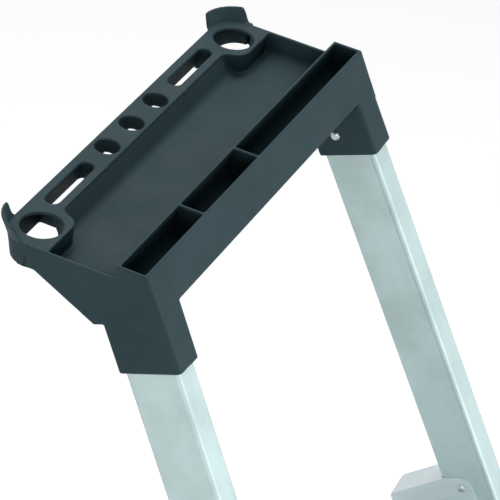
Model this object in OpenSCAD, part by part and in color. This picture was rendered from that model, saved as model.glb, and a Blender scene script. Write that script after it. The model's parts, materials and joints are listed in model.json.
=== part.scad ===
// Platform step ladder with a moulded tool tray on its guard rail.
// Millimetres, +Z up, +X to the user's right, +Y from the climber towards the rear legs.
// The origin is on the floor, at the centre of the box around the opened ladder.
// The ladder stands open: rear section swung back, platform down on its rest tube.

/* [Overall] */
// Height of the tray's rim above the floor
rim_height = 1530; // [1200:5:1800]
// Lean of the front stiles from upright, degrees
front_lean = 27; // [20:0.5:30]
// Lean of the rear legs from upright, degrees
rear_lean = 17; // [12:0.5:22]
// Sideways spread of each stile and leg, degrees
splay = 2.86; // [0:0.02:3]
// Width of the tool tray across its sides
tray_width = 420; // [380:2:460]
// Climbing steps, counting the platform as the last
step_count = 4; // [4:1:4]
// Height of the platform's standing surface
platform_height = 944; // [800:4:1040]

/* [Front stiles] */
// Width of a stile, across the ladder
stile_width = 27; // [24:0.1:30]
// Depth of a stile, front to back
stile_depth = 50.2; // [42:0.2:60]
// Wall of a stile
stile_wall = 1.8; // [1.2:0.1:3]
// Rounding of a stile's corners
stile_round = 3; // [1.5:0.25:5]
// Setting of a stile's front face behind the tray's front plane
stile_setback = 4.1; // [4:0.1:7]

/* [Tray] */
// Depth of the tray, from its front edge to the back of its ledge
tray_depth = 137.6; // [120:0.4:160]
// Rise of the compartments above the rim
front_rise = 13.1; // [8:0.1:20]
// Depth of the tray below its rim
tray_drop = 21.6; // [18:0.2:28]
// Depth of the compartments at their top, front to back
compartment_depth = 27.3; // [22:0.1:36]
// Wall of the moulding
tray_wall = 2.8; // [2:0.1:3.6]
// Floor level of the well below the rim
well_depth = 19.4; // [15:0.2:20]
// Width of the ledge with the holes
ledge_width = 28.6; // [27:0.2:34]
// Radius of the round holes for small tools
small_hole_radius = 11; // [8:0.1:11.5]
// Spacing of the small holes, as a share of the tray's half width
small_hole_spread = 0.2124; // [0.19:0.0002:0.22]
// Radius of the two large holes
large_hole_radius = 18.2; // [14:0.1:20]
// Centres of the large holes in from the tray's sides
large_hole_inset = 31.8; // [30:0.2:36]
// Centres of the large holes in front of the ledge's back edge
large_hole_back = 25.7; // [24:0.1:29]
// Half width of the slots
slot_radius = 6.5; // [4:0.1:8]
// Depth of the collars under the slots
slot_collar_depth = 16.8; // [6:0.2:17]
// Length of a slot between its end centres, as a share of the tray's half width
slot_share = 0.277; // [0.2:0.001:0.285]
// Sideways place of the slots, as a share of the tray's half width
slot_place = 0.5295; // [0.515:0.0005:0.535]
// Depth of the collars under the small holes
collar_depth = 14; // [6:0.5:17]
// Outer radius of the rear corners at the rim
corner_radius = 29; // [26:0.5:30]
// Rise of the rear skirt's edge between the corners
skirt_rise = 5; // [1:0.1:8]
// Inward taper of the rear skirt over its height
skirt_taper = 6.5; // [4:0.1:8]
// Height of the curved ears at the rear corners
ear_height = 13; // [8:0.5:18]
// Outward flare of the ears
ear_flare = 5.5; // [2:0.25:8]
// Length of the sleeves below the tray's front edge, along the stile
sleeve_reach = 89; // [75:1:110]
// Start of the sleeves below the tray's front edge, along the stile
sleeve_start = 38; // [36:0.5:42]
// Slope of the sleeves' lower edge from square
sleeve_slope = 4.4; // [0:0.1:6]
// Side wall of a sleeve
sleeve_side_wall = 3.1; // [2:0.1:4]
// Front and back wall of a sleeve
sleeve_end_wall = 4.4; // [3:0.1:5]

/* [Hinge brackets] */
// Sheet of the brackets
bracket_sheet = 2.5; // [2:0.1:4]
// Top of a bracket below the tray's front edge, along the stile
bracket_top = 445.5; // [390:0.5:470]
// Length of a bracket along the stile
bracket_length = 140; // [110:1:180]
// Front edge of a bracket behind the stile's front face
bracket_inset = 20.2; // [16:0.1:24]
// Slope of the bracket's hood beyond square
hood_slope = 14.2; // [0:0.1:20]
// Reach of a bracket behind the stile's back face
bracket_overhang = 61.2; // [56:0.2:76]
// Rear pivot below the tray's front edge, along the stile
pivot_along = 490; // [478:1:520]
// Rear pivot behind the stile's back face
pivot_gap = 31.7; // [30:0.1:38]
// Radius of the pivot pins
pin_radius = 5; // [4:0.1:6]
// Running clearance of the bushes on the pins
pin_clearance = 0.05; // [0.01:0.01:0.1]

/* [Treads] */
// Depth of a tread
tread_depth = 80; // [70:1:90]
// Height of a tread
tread_height = 26; // [20:0.5:32]
// Wall of a tread
tread_wall = 2; // [1.5:0.1:3]
// Reach of a tread's nose in front of the stiles
tread_nose = 6; // [0:0.5:12]

/* [Platform] */
// Gap between the platform's rails and the hinge brackets
platform_gap = 6.4; // [5:0.2:12]
// Reach of the platform in front of its pivot
platform_front = 38; // [34:1:44]
// Reach of the platform behind its pivot
platform_back = 212; // [208:1:220]
// Height of the platform
platform_thick = 26; // [22:0.5:30]
// Sheet of the platform's side rails
rail_sheet = 4; // [3:0.25:6]

/* [Rear section] */
// Width of a rear leg
leg_width = 23.2; // [19:0.1:24]
// Depth of a rear leg
leg_depth = 40; // [34:0.5:42]
// Wall of a rear leg
leg_wall = 1.6; // [1.2:0.1:2.5]
// Radius of the platform rest tube
rest_radius = 11; // [9:0.25:12.5]
// Height of a rear brace
brace_height = 40; // [30:1:50]
// Upper brace below the rear pivot
upper_brace_at = 430; // [360:5:480]
// Lower brace below the rear pivot
lower_brace_at = 900; // [800:5:960]

/* [Feet and rivets] */
// Wall of the feet
foot_wall = 3; // [2:0.25:5]
// Height of the feet along the stile
foot_height = 62; // [45:1:90]
// Thickness of a foot's sole
sole = 7; // [5:0.5:12]
// Head radius of the rivets
rivet_head = 4.6; // [3.5:0.1:6]
// Shank radius of the rivets
rivet_shank = 2.4; // [2:0.1:3.2]

/* [Hidden] */
half = tray_width / 2;
large_hole_x = half - large_hole_inset;
large_hole_y = tray_depth - large_hole_back;
slot_x = half * slot_place;
slot_length = half * slot_share;
small_hole_pitch = half * small_hole_spread;
top_z = rim_height + front_rise;
st = sin(front_lean);
ct = cos(front_lean);
flare = tan(splay);
stile_x = half - 5.2;
stile_mid = stile_setback + stile_depth / 2;
stile_back = stile_setback + stile_depth;
bracket_front = stile_setback + bracket_inset;
bracket_reach = stile_back + bracket_overhang;
pivot_back = stile_back + pivot_gap;
leg_x = stile_x + pivot_along * flare - stile_width / 2;
// Height of the rear pivot and of the platform's pivot
pivot_z = top_z - pivot_along * ct - pivot_back * st;
platform_pivot_z = platform_height - platform_thick / 2;
// Distances of both pivots and both feet behind the tray's front edge
pivot_dy = -pivot_along * st + pivot_back * ct;
platform_dy = -(top_z - platform_pivot_z) * tan(front_lean) + stile_mid / ct;
front_toe = -top_z * tan(front_lean) + (stile_setback - foot_wall) / ct;
rear_heel = pivot_dy + pivot_z * tan(rear_lean) + (leg_depth / 2 + foot_wall) / cos(rear_lean);
tray_y = -(front_toe + rear_heel) / 2;
pivot_y = tray_y + pivot_dy;
platform_y = tray_y + platform_dy;
platform_along = (top_z - platform_pivot_z) / ct - stile_mid * tan(front_lean);
// The rest tube hangs just under the platform's hooks
saddle = 3;
rest_gap = 0.3;
rest_z = platform_height - platform_thick - saddle - rest_gap - rest_radius;
rest_along = (pivot_z - rest_z) / cos(rear_lean);
rest_y = pivot_y + rest_along * sin(rear_lean);
step_rise = platform_height / step_count;
ledge_front = tray_depth - ledge_width;
small_hole_y = tray_depth - 15;
corner_x = half - corner_radius;
corner_y = tray_depth + 1.4 - corner_radius;
leg_flat = leg_depth / 2;
platform_half = stile_x + bracket_top * flare - stile_width - bracket_sheet - platform_gap;
head_height = 2.4;
$fn = 40;

// ---------- outlines ----------
function unit(v) = v / norm(v);
function arc_pts(o, r, a0, a1, n) = [for (k = [0:n]) o + r * [cos(a0 + (a1 - a0) * k / n), sin(a0 + (a1 - a0) * k / n)]];
// Points of one rounded corner at c, between its neighbours p and q
function corner_pts(p, c, q, r, n) =
    r <= 0 ? [c] :
    let (u = unit(p - c), w = unit(q - c), h = acos(max(-1, min(1, u * w))) / 2)
    let (o = c + unit(u + w) * r / sin(h), t1 = c + u * r / tan(h), t2 = c + w * r / tan(h))
    let (a1 = atan2(t1[1] - o[1], t1[0] - o[0]), a2 = atan2(t2[1] - o[1], t2[0] - o[0]))
    let (d = a2 - a1, turn = d > 180 ? d - 360 : d < -180 ? d + 360 : d)
    arc_pts(o, r, a1, a1 + turn, n);
function rounded(pts, r, n = 5) = [for (i = [0:len(pts) - 1])
    each corner_pts(pts[(i + len(pts) - 1) % len(pts)], pts[i], pts[(i + 1) % len(pts)], is_list(r) ? r[i] : r, n)];
function box_pts(x0, y0, x1, y1) = [[x0, y0], [x1, y0], [x1, y1], [x0, y1]];

// Solid between x0 and x1 whose side outline is given in Y and Z
module prism_x(x0, x1, pts)
{
    translate([x0, 0, 0])
        rotate([90, 0, 90])
            linear_extrude(x1 - x0)
                polygon(pts);
}

// Solid between y0 and y1 whose front outline is given in X and Z
module prism_y(y0, y1, pts)
{
    translate([0, y1, 0])
        rotate([90, 0, 0])
            linear_extrude(y1 - y0)
                polygon(pts);
}

module rod_x(x0, x1, r)
{
    translate([x0, 0, 0])
        rotate([0, 90, 0])
            cylinder(h = x1 - x0, r = r);
}

module pair()
{
    children();
    mirror([1, 0, 0])
        children();
}

// ---------- frames ----------
// Right stile: local z runs up the stile, local y to its back, local x outwards from its outer face
module stile_frame()
{
    translate([stile_x, tray_y, top_z])
        rotate([-front_lean, 0, 0])
            rotate([0, -splay, 0])
                children();
}

// Right rear leg: the same, centred on the leg with its pivot at zero
module leg_frame()
{
    translate([leg_x, pivot_y, pivot_z])
        rotate([rear_lean, 0, 0])
            rotate([0, -splay, 0])
                children();
}

// Plane of the rear section without the legs' spread
module rear_frame()
{
    translate([0, pivot_y, pivot_z])
        rotate([rear_lean, 0, 0])
            children();
}

module at_tray()
{
    translate([0, tray_y, rim_height])
        children();
}

module at_platform()
{
    translate([0, platform_y, platform_pivot_z])
        children();
}

module below_floor(z)
{
    translate([-600, -1500, z - 400])
        cube([1200, 3000, 400]);
}

// A round-headed rivet along local x: the head's seat at zero, the shank towards -x
module rivet(grip)
{
    rotate([0, 90, 0])
        rotate_extrude($fn = 32)
            polygon(concat([[0, -grip], [rivet_shank, -grip], [rivet_shank, 0], [rivet_head, 0]],
                [for (k = [1:6]) [rivet_head * cos(15 * k), head_height * sin(15 * k)]]));
}

// ---------- front section ----------
module stile_outline(grow)
{
    polygon(rounded(box_pts(-stile_width - grow, stile_setback - grow, grow, stile_setback + stile_depth + grow), stile_round + grow, 4));
}

// Holes through the inner wall of the right stile, in the stile's frame
module stile_holes()
{
    for (at = stile_rivets())
        translate([-stile_width - 1, at[0], -at[1]])
            rod_x(-2, 4, rivet_shank);
}
function tray_rivet_at() = [34.7, 65.6];
function bracket_rivets_at() = [[bracket_front + 11.4, bracket_top + 11.5], [bracket_front + 11.4, bracket_top + bracket_length - 11.5], [stile_back - 8, bracket_top + bracket_length - 11.5]];
function plate_rivets_at() = [[stile_mid, platform_along - 26], [stile_mid, platform_along + 26]];
function tread_along(k) = (top_z - k * step_rise + tread_height + 12) / ct - stile_mid * tan(front_lean);
function cleat_rivets_at() = [for (k = [1:step_count - 1]) for (d = [-11, 11]) [stile_mid + d * ct, tread_along(k) - d * st]];
function stile_rivets() = concat([tray_rivet_at()], bracket_rivets_at(), plate_rivets_at(), cleat_rivets_at());

module right_stile_body()
{
    length = (top_z + 120) / ct;
    difference()
    {
        stile_frame()
            difference()
            {
                translate([0, 0, -length])
                    linear_extrude(length - sleeve_start - 3)
                        difference()
                        {
                            stile_outline(0);
                            stile_outline(-stile_wall);
                            translate([-stile_width - 1, stile_setback + 4.2])
                                polygon([[0, -1.1], [1.7, 0], [0, 1.1]]);
                        }
                stile_holes();
            }
        stile_frame()
            outer_rivet_holes();
        platform_pin_cut(pin_radius);
        below_floor(sole);
    }
}

// Holes for the two outer rivets of the hinge bracket, in the stile's frame
module outer_rivet_holes()
{
    for (at = [bracket_rivets_at()[0], bracket_rivets_at()[1]])
        translate([0, at[0], -at[1]])
            rod_x(-3, 4, rivet_shank);
}

module platform_pin_cut(r)
{
    at_platform()
        rod_x(platform_half - 20, stile_x + platform_along * flare - 10, r);
}

module right_front_stile()
{
    color([0.74, 0.8, 0.81])
        right_stile_body();
}

module left_front_stile()
{
    color([0.74, 0.8, 0.81])
        mirror([1, 0, 0])
            right_stile_body();
}

// Space between the inner faces of the two stiles
module between_stiles()
{
    difference()
    {
        translate([-400, -900, -50])
            cube([800, 1800, 1700]);
        pair()
            stile_frame()
                translate([-stile_width, -900, -2000])
                    cube([900, 1800, 2400]);
    }
}

module tread_at(k)
{
    z = k * step_rise;
    y = tray_y - (top_z - z) * tan(front_lean) + stile_mid / ct - stile_depth / 2 / ct - tread_nose;
    color([0.74, 0.8, 0.81])
        intersection()
        {
            translate([0, y, z])
                prism_x(-330, 330, tread_outer());
            between_stiles();
            translate([0, y, z])
                difference()
                {
                    prism_x(-331, 331, box_pts(-5, -tread_height - 5, tread_depth + 5, 5));
                    for (c = tread_cells())
                        prism_x(-332, 332, c);
                    pair()
                        for (d = [-11, 11])
                            translate([tread_end(k) - 22, tread_nose + stile_depth / 2 / ct + d, -tread_height - 1])
                                cylinder(h = tread_wall + 2, r = rivet_shank);
                }
        }
}
function tread_end(k) = stile_x - stile_width + (top_z - k * step_rise + tread_height) / ct * flare;
ridge_pitch = 6;
function tread_outer() = concat(
    arc_pts([7, -7], 7, 180, 90, 6),
    [for (k = [0:9]) each [[12 + k * ridge_pitch, 0], [13.2 + k * ridge_pitch, -1.2], [15.6 + k * ridge_pitch, -1.2], [16.8 + k * ridge_pitch, 0]]],
    arc_pts([tread_depth - 4, -4], 4, 90, 0, 4),
    arc_pts([tread_depth - 3, -tread_height + 3], 3, 0, -90, 4),
    arc_pts([6, -tread_height + 6], 6, -90, -180, 5));
function tread_cells() = [for (k = [0:2])
    let (x0 = tread_wall + k * (tread_depth - tread_wall) / 3, x1 = (k + 1) * (tread_depth - tread_wall) / 3)
    rounded(box_pts(x0, -tread_height + tread_wall, x1, -tread_wall - 1.2), k == 0 ? [5, 1.5, 1.5, 5] : 1.5, 3)];

module lower_tread()
{
    tread_at(1);
}

module middle_tread()
{
    tread_at(2);
}

module upper_tread()
{
    tread_at(3);
}

// Angle cleat under a tread's end, in the right stile's frame and the level frame together
module tread_cleats()
{
    color([0.7, 0.74, 0.76])
        pair()
            for (k = [1:step_count - 1])
                difference()
                {
                    union()
                    {
                        intersection()
                        {
                            stile_frame()
                                translate([-stile_width - 2.5, -200, -2000])
                                    cube([2.5, 400, 1900]);
                            cleat_space(k, 0);
                        }
                        difference()
                        {
                            intersection()
                            {
                                cleat_space(k, 1);
                                between_stiles();
                            }
                            stile_frame()
                                translate([-stile_width - 2.5, -200, -2000])
                                    cube([400, 400, 1900]);
                        }
                    }
                    stile_frame()
                        for (at = cleat_rivets_at())
                            translate([-stile_width, at[0], -at[1]])
                                rod_x(-4, 2, rivet_shank);
                    translate([tread_end(k) - 22, cleat_y(k), k * step_rise - tread_height - 5])
                        for (d = [-11, 11])
                            translate([0, d, 0])
                                cylinder(h = 6, r = rivet_shank);
                }
}
function cleat_y(k) = tray_y - (top_z - k * step_rise) * tan(front_lean) + stile_mid / ct;
module cleat_space(k, flat)
{
    z = k * step_rise - tread_height;
    translate([tread_end(k) - (flat == 1 ? 32 : 10), cleat_y(k) - 20, z - (flat == 1 ? 2.5 : 26)])
        cube([flat == 1 ? 40 : 22, 40, flat == 1 ? 2.5 : 26]);
}

module tread_rivets()
{
    color([0.78, 0.8, 0.81])
        pair()
        {
            stile_frame()
                for (at = cleat_rivets_at())
                    translate([-stile_width - 2.5, at[0], -at[1]])
                        mirror([1, 0, 0])
                            rivet(4.6);
            for (k = [1:step_count - 1])
                for (d = [-11, 11])
                    translate([tread_end(k) - 22, cleat_y(k) + d, k * step_rise - tread_height - 2.5])
                        rotate([0, 90, 0])
                            rivet(5);
        }
}

module tray_rivets()
{
    color([0.78, 0.8, 0.81])
        pair()
            stile_frame()
                translate([-stile_width - sleeve_side_wall, tray_rivet_at()[0], -tray_rivet_at()[1]])
                    mirror([1, 0, 0])
                        rivet(sleeve_side_wall + stile_wall + 1.5);
}

// ---------- tray ----------
function slope_y(z) = (z - front_rise) * tan(front_lean);

// Well: slanting walls and rounded floor edges, kept clear of the bosses around the large holes
module well_space()
{
    back = ledge_front;
    difference()
    {
        intersection()
        {
            prism_x(-half + tray_wall, half - tray_wall, rounded([[compartment_depth + 0.2, 6], [compartment_depth + 2, -well_depth], [back - 11, -well_depth], [back, 0], [back, 6]], [0, 4, 9, 3, 0], 5));
            prism_y(0, 200, rounded([[-half + tray_wall, 6], [-half + tray_wall, 0], [-half + 8, -well_depth], [half - 8, -well_depth], [half - tray_wall, 0], [half - tray_wall, 6]], [0, 0, 7, 7, 0, 0], 5));
        }
        pair()
            translate([0, 0, -40])
                linear_extrude(60)
                    polygon(rounded([[large_hole_x - 60, 140], [large_hole_x - 60, ledge_front + 0.2], [large_hole_x - 29, ledge_front + 0.2], [large_hole_x - 21.5, 89.5], [half + 4, 89.5], [half + 4, 140]], [0, 0, 13, 15, 0, 0], 7));
    }
}

module compartment_space(x0, x1)
{
    back = compartment_depth - 2.4;
    low = -tray_drop + 4;
    prism_x(x0, x1, rounded([[slope_y(front_rise + 4) + 3.2, front_rise + 4], [slope_y(low) + 3.2, low], [back, low], [back, front_rise + 4]], [0, 4, 15, 0], 7));
}

module round_hole(x, y, r)
{
    translate([x, y, -40])
        cylinder(h = 60, r = r);
    translate([x, y, -0.8])
        cylinder(h = 20, r = r + 0.9);
}

function slot_pts(r) = concat(arc_pts([slot_length / 2, 0], r, -90, 90, 12), arc_pts([-slot_length / 2, 0], r, 90, 270, 12));

module slot_hole(x)
{
    translate([x, small_hole_y, -40])
        linear_extrude(60)
            polygon(slot_pts(slot_radius));
    translate([x, small_hole_y, -0.8])
        linear_extrude(20)
            polygon(slot_pts(slot_radius + 0.9));
}

// Tray without its holes and sockets
module tray_solid()
{
    drop = -tray_drop;
    back = tray_depth;
    taper = skirt_taper;
    // front block with the compartments and the sloping front panel
    difference()
    {
        prism_x(-half, half, [[slope_y(drop + 1), drop + 1], [compartment_depth, drop + 1], [compartment_depth, front_rise], [0, front_rise]]);
        compartment_space(-half + 3, -half / 2 + 0.6);
        compartment_space(-half / 2 + 3.4, -1.4);
        compartment_space(1.4, half - 3);
    }
    // well
    difference()
    {
        union()
        {
            translate([-half, compartment_depth - 1, drop])
                cube([tray_width, ledge_front - compartment_depth - 6, tray_drop]);
            prism_x(-half + 30, half - 30, [[ledge_front - 8, drop], [ledge_front - 8, 0], [ledge_front + 3, 0], [ledge_front + 3, -2.8], [ledge_front - 7, drop]]);
        }
        well_space();
    }
    // ledge deck, rear skirt, tapered corners
    translate([-half + 30, ledge_front - 1, -tray_wall])
        cube([tray_width - 60, ledge_width + 1, tray_wall]);
    difference()
    {
        prism_x(-corner_x, corner_x, [[back, 0], [back - taper, drop], [back - taper - tray_wall, drop], [back - tray_wall, 0]]);
        prism_y(back - 30, back + 6, [[-corner_x + 34, drop - 4], [-corner_x + 42, drop + skirt_rise], [corner_x - 42, drop + skirt_rise], [corner_x - 34, drop - 4]]);
    }
    pair()
    {
        difference()
        {
            union()
            {
                translate([corner_x, corner_y, -tray_wall])
                    cylinder(h = tray_wall, r = corner_radius - 1.8);
                translate([large_hole_x - 34, 88, -tray_wall])
                    cube([half - large_hole_x + 34, corner_y - 88, tray_wall]);
            }
            well_space();
            translate([corner_x - 60, 60, -tray_wall - 1])
                cube([120, 28, tray_wall + 2]);
        }
        // boss wall round the large hole
        difference()
        {
            translate([0, 0, drop])
                linear_extrude(tray_drop)
                    difference()
                    {
                        polygon(rounded([[large_hole_x - 31, 112], [large_hole_x - 23.5, 88], [half, 88], [half, corner_y], [half - 3, corner_y], [large_hole_x - 20, 112]], [0, 13, 0, 0, 0, 0], 6));
                        polygon(rounded([[large_hole_x - 28, 114], [large_hole_x - 20.5, 90.5], [half - 3, 90.5], [half - 3, corner_y + 4], [large_hole_x - 20, 114]], [0, 13.5, 0, 0, 0], 6));
                    }
            well_space();
        }
        // tapered rear corner
        difference()
        {
            translate([corner_x, corner_y, drop])
                difference()
                {
                    cylinder(h = tray_drop, r1 = corner_radius - taper, r2 = corner_radius);
                    translate([0, 0, -0.01])
                        cylinder(h = tray_drop + 0.02, r1 = corner_radius - taper - tray_wall, r2 = corner_radius - tray_wall);
                }
            translate([corner_x - 60, corner_y - 60, drop - 1])
                cube([60, 120, 60]);
            translate([corner_x - 60, corner_y - 60, drop - 1])
                cube([120, 60, 60]);
        }
        translate([corner_x, corner_y, 0])
            rotate([0, 0, -4])
                rotate_extrude(angle = 98)
                    polygon([[corner_radius - 2.6, -2.2], [corner_radius - 1.5, -3.4], [corner_radius + 0.7, 0], [corner_radius + ear_flare, ear_height], [corner_radius + ear_flare - 2.4, ear_height], [corner_radius - 2.6, 0.7]]);
        // ribs under the ledge
        for (x = [large_hole_x - 31, slot_x - slot_length / 2 - 9])
            translate([x - 1.2, ledge_front - 2, drop])
                cube([2.4, ledge_width - taper - 1, tray_drop - 1]);
        side_wall();
    }
    // collars under the small holes
    for (k = [-1, 0, 1])
        translate([k * small_hole_pitch, small_hole_y, -collar_depth])
            cylinder(h = collar_depth - 1, r = small_hole_radius + 1.8);
    // collars under the slots
    for (s = [-1, 1])
        translate([s * slot_x, small_hole_y, -slot_collar_depth])
            linear_extrude(slot_collar_depth - 1)
                polygon(slot_pts(slot_radius + 1.8));
    // long stiffening ribs under the well
    for (y = [compartment_depth + 22, compartment_depth + 50])
        translate([-half + 30, y, drop - 6])
            cube([tray_width - 60, 2.4, 6.5]);
}

// Side wall with the gusset that runs down to the sleeve, on the right
module side_wall()
{
    prism_x(half - 3, half, [[slope_y(-20), -20], [slope_y(-20) - sleeve_drop() * st, -20 - sleeve_drop() * ct], sleeve_heel(), sleeve_heel() + [7.9, -3.3], [ledge_front - 9, -tray_drop], [corner_y + 6, -tray_drop], [corner_y + 6, 0], [compartment_depth, 0], [compartment_depth, front_rise - 1], [slope_y(front_rise - 1), front_rise - 1]]);
}
function sleeve_drop() = 9;
// Point on the sleeve's back wall, just below its roof
function sleeve_heel() =
    let (s = sleeve_start + 1.6, q = stile_setback + stile_depth + sleeve_end_wall - 0.6)
    [-s * st + q * ct, front_rise - s * ct - q * st];

// Sleeve walls up to the underside of the tray, in the right stile's frame
module sleeve_solid()
{
    x0 = -stile_width - sleeve_side_wall;
    x1 = sleeve_side_wall;
    y0 = stile_setback - sleeve_end_wall;
    y1 = stile_setback + stile_depth + sleeve_end_wall;
    difference()
    {
        stile_frame()
            difference()
            {
                union()
                {
                    translate([0, 0, -sleeve_reach])
                        linear_extrude(sleeve_reach - sleeve_start)
                            polygon(rounded(box_pts(x0, y0, x1, y1), 3.5, 5));
                    translate([0, 0, -sleeve_start])
                        linear_extrude(26)
                            polygon(rounded(box_pts(x0, y0, x1, y1), 3.5, 5));
                }
                // sloping lower edge
                translate([0, 0, -sleeve_reach])
                    rotate([sleeve_slope, 0, 0])
                        translate([-60, -30, -40])
                            cube([120, 160, 40]);
                // hollow above the sleeve's roof
                translate([x0 + 3, y0 + 3, -sleeve_start + 2.4])
                    cube([x1 - x0 - 6, y1 - y0 - 6, 40]);
            }
        at_tray()
            translate([half - 60, -60, -tray_drop + 1])
                cube([120, 200, 80]);
        at_tray()
            translate([half, -60, -44])
                cube([20, 200, 80]);
    }
}

module tool_tray()
{
    color([0.2, 0.27, 0.3])
        difference()
        {
            union()
            {
                at_tray()
                    tray_solid();
                pair()
                    sleeve_solid();
            }
            pair()
                stile_frame()
                {
                    translate([0, 0, -sleeve_reach - 1])
                        linear_extrude(sleeve_reach + 1 - sleeve_start - 3)
                            stile_outline(0.05);
                    translate([-stile_width, tray_rivet_at()[0], -tray_rivet_at()[1]])
                        rod_x(-6, 2, rivet_shank);
                }
            at_tray()
            {
                for (k = [-1, 0, 1])
                    round_hole(k * small_hole_pitch, small_hole_y, small_hole_radius);
                for (s = [-1, 1])
                {
                    slot_hole(s * slot_x);
                    round_hole(s * large_hole_x, large_hole_y, large_hole_radius);
                }
            }
        }
}

// ---------- hinge brackets ----------
function hood_at(q) = bracket_top + max(0, q - stile_back) * tan(hood_slope);
function cheek_pts() = rounded([[bracket_front, -bracket_top], [stile_back, -bracket_top], [bracket_reach, -hood_at(bracket_reach)],
    [bracket_reach, -pivot_along - 26], [stile_back + 4, -bracket_top - bracket_length], [bracket_front, -bracket_top - bracket_length]],
    [11.4, 0, 3, 20, 12, 11.4], 6);

module right_bracket_body()
{
    q0 = stile_back + 0.2;
    difference()
    {
        stile_frame()
            difference()
            {
                union()
                {
                    prism_x(-stile_width - bracket_sheet, -stile_width, cheek_pts());
                    prism_x(0, bracket_sheet, cheek_pts());
                    prism_x(-stile_width - 0.5, 0.5, [[q0, -hood_at(q0)], [bracket_reach - 1, -hood_at(bracket_reach - 1)], [bracket_reach - 1, -hood_at(bracket_reach - 1) - bracket_sheet], [q0, -hood_at(q0) - bracket_sheet]]);
                }
                for (at = bracket_rivets_at())
                    translate([-stile_width, at[0], -at[1]])
                        rod_x(-4, 2, rivet_shank);
                for (k = [0, 1])
                    translate([0, bracket_rivets_at()[k][0], -bracket_rivets_at()[k][1]])
                        rod_x(-2, 4, rivet_shank);
            }
        translate([leg_x, pivot_y, pivot_z])
            rod_x(-40, 40, pin_radius);
    }
}

module right_hinge_bracket()
{
    color([0.82, 0.86, 0.87])
        right_bracket_body();
}

module left_hinge_bracket()
{
    color([0.82, 0.86, 0.87])
        mirror([1, 0, 0])
            right_bracket_body();
}

module bracket_rivets()
{
    color([0.78, 0.8, 0.81])
        pair()
            stile_frame()
            {
                for (at = bracket_rivets_at())
                    translate([-stile_width - bracket_sheet, at[0], -at[1]])
                        mirror([1, 0, 0])
                            rivet(bracket_sheet + stile_wall + 1.5);
                for (k = [0, 1])
                    translate([bracket_sheet, bracket_rivets_at()[k][0], -bracket_rivets_at()[k][1]])
                        rivet(bracket_sheet + stile_wall + 1.5);
            }
}

module rear_pivot_pins()
{
    reach = stile_width / 2 + bracket_sheet + 0.5;
    color([0.6, 0.62, 0.64])
        pair()
            translate([leg_x, pivot_y, pivot_z])
            {
                rod_x(-reach - 1, reach + 1, pin_radius);
                rod_x(reach, reach + 3, pin_radius + 4.5);
                rod_x(-reach - 3, -reach, pin_radius + 4.5);
            }
}

// ---------- platform pivots on the stiles ----------
module platform_pivot_plates()
{
    color([0.82, 0.86, 0.87])
        pair()
            difference()
            {
                stile_frame()
                    difference()
                    {
                        prism_x(-stile_width - 2.5, -stile_width, rounded(box_pts(stile_mid - 17, -platform_along - 38, stile_mid + 17, -platform_along + 38), 9, 6));
                        for (at = plate_rivets_at())
                            translate([-stile_width, at[0], -at[1]])
                                rod_x(-4, 2, rivet_shank);
                    }
                platform_pin_cut(pin_radius);
            }
}

module platform_pivot_pins()
{
    x1 = stile_x + platform_along * flare - stile_width + stile_wall + 3;
    color([0.6, 0.62, 0.64])
    {
        pair()
            at_platform()
            {
                rod_x(platform_half - 15, x1, pin_radius);
                rod_x(platform_half - 18, platform_half - 15, pin_radius + 3.5);
            }
        pair()
            stile_frame()
                for (at = plate_rivets_at())
                    translate([-stile_width - 2.5, at[0], -at[1]])
                        mirror([1, 0, 0])
                            rivet(2.5 + stile_wall + 1.5);
    }
}

module platform_spacers()
{
    color([0.12, 0.13, 0.14])
        pair()
            difference()
            {
                at_platform()
                    rod_x(platform_half + 0.8, stile_x + platform_along * flare - stile_width, 10);
                stile_frame()
                    translate([-stile_width - 2.5, -100, -platform_along - 100])
                        cube([40, 300, 200]);
                platform_pin_cut(pin_radius);
            }
}

// ---------- platform ----------
// Hollow boards side by side, ribbed on top
module platform_deck()
{
    low = -platform_thick / 2;
    high = platform_thick / 2;
    y0 = -platform_front + 4;
    y1 = platform_back;
    cells = 8;
    step = (y1 - y0 - 2) / cells;
    ridges = floor((y1 - y0 - 12) / 8);
    color([0.76, 0.81, 0.82])
        at_platform()
            difference()
            {
                prism_x(-platform_half + rail_sheet, platform_half - rail_sheet,
                    concat([[y0, low], [y0, high]],
                        [for (k = [0:ridges - 1]) each [[y0 + 6 + k * 8, high], [y0 + 7 + k * 8, high - 1.2], [y0 + 11 + k * 8, high - 1.2], [y0 + 12 + k * 8, high]]],
                        [[y1 - 3, high], [y1, high - 3], [y1, low]]));
                for (k = [0:cells - 1])
                    prism_x(-platform_half, platform_half, rounded(box_pts(y0 + 2 + k * step, low + 2, y0 + k * step + step, high - 3.2), 2, 3));
                for (x = [-hook_x, hook_x])
                    for (d = [-10, 10])
                        translate([x + d, rest_y - platform_y - 11, low - 1])
                            cylinder(h = 4, r = rivet_shank);
                pair()
                    rod_x(platform_half - 24, platform_half, 9.6);
            }
}
hook_x = platform_half * 0.625;

module right_rail_body()
{
    low = -platform_thick / 2;
    high = platform_thick / 2;
    difference()
    {
        union()
        {
            prism_x(platform_half - rail_sheet, platform_half, rounded(box_pts(-platform_front + 4, low, platform_back, high), [6, 6, 6, 6], 5));
            rod_x(platform_half - 13, platform_half - rail_sheet, 9.6);
        }
        rod_x(platform_half - 14, platform_half + 2, 7.2);
        for (y = [24, platform_back - 20])
            translate([0, y, 0])
                rod_x(platform_half - 10, platform_half + 2, rivet_shank);
    }
}

// Boards are cut back around the rails' pivot bosses
module right_platform_rail()
{
    color([0.7, 0.75, 0.77])
        at_platform()
            right_rail_body();
}

module left_platform_rail()
{
    color([0.7, 0.75, 0.77])
        at_platform()
            mirror([1, 0, 0])
                right_rail_body();
}

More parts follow.
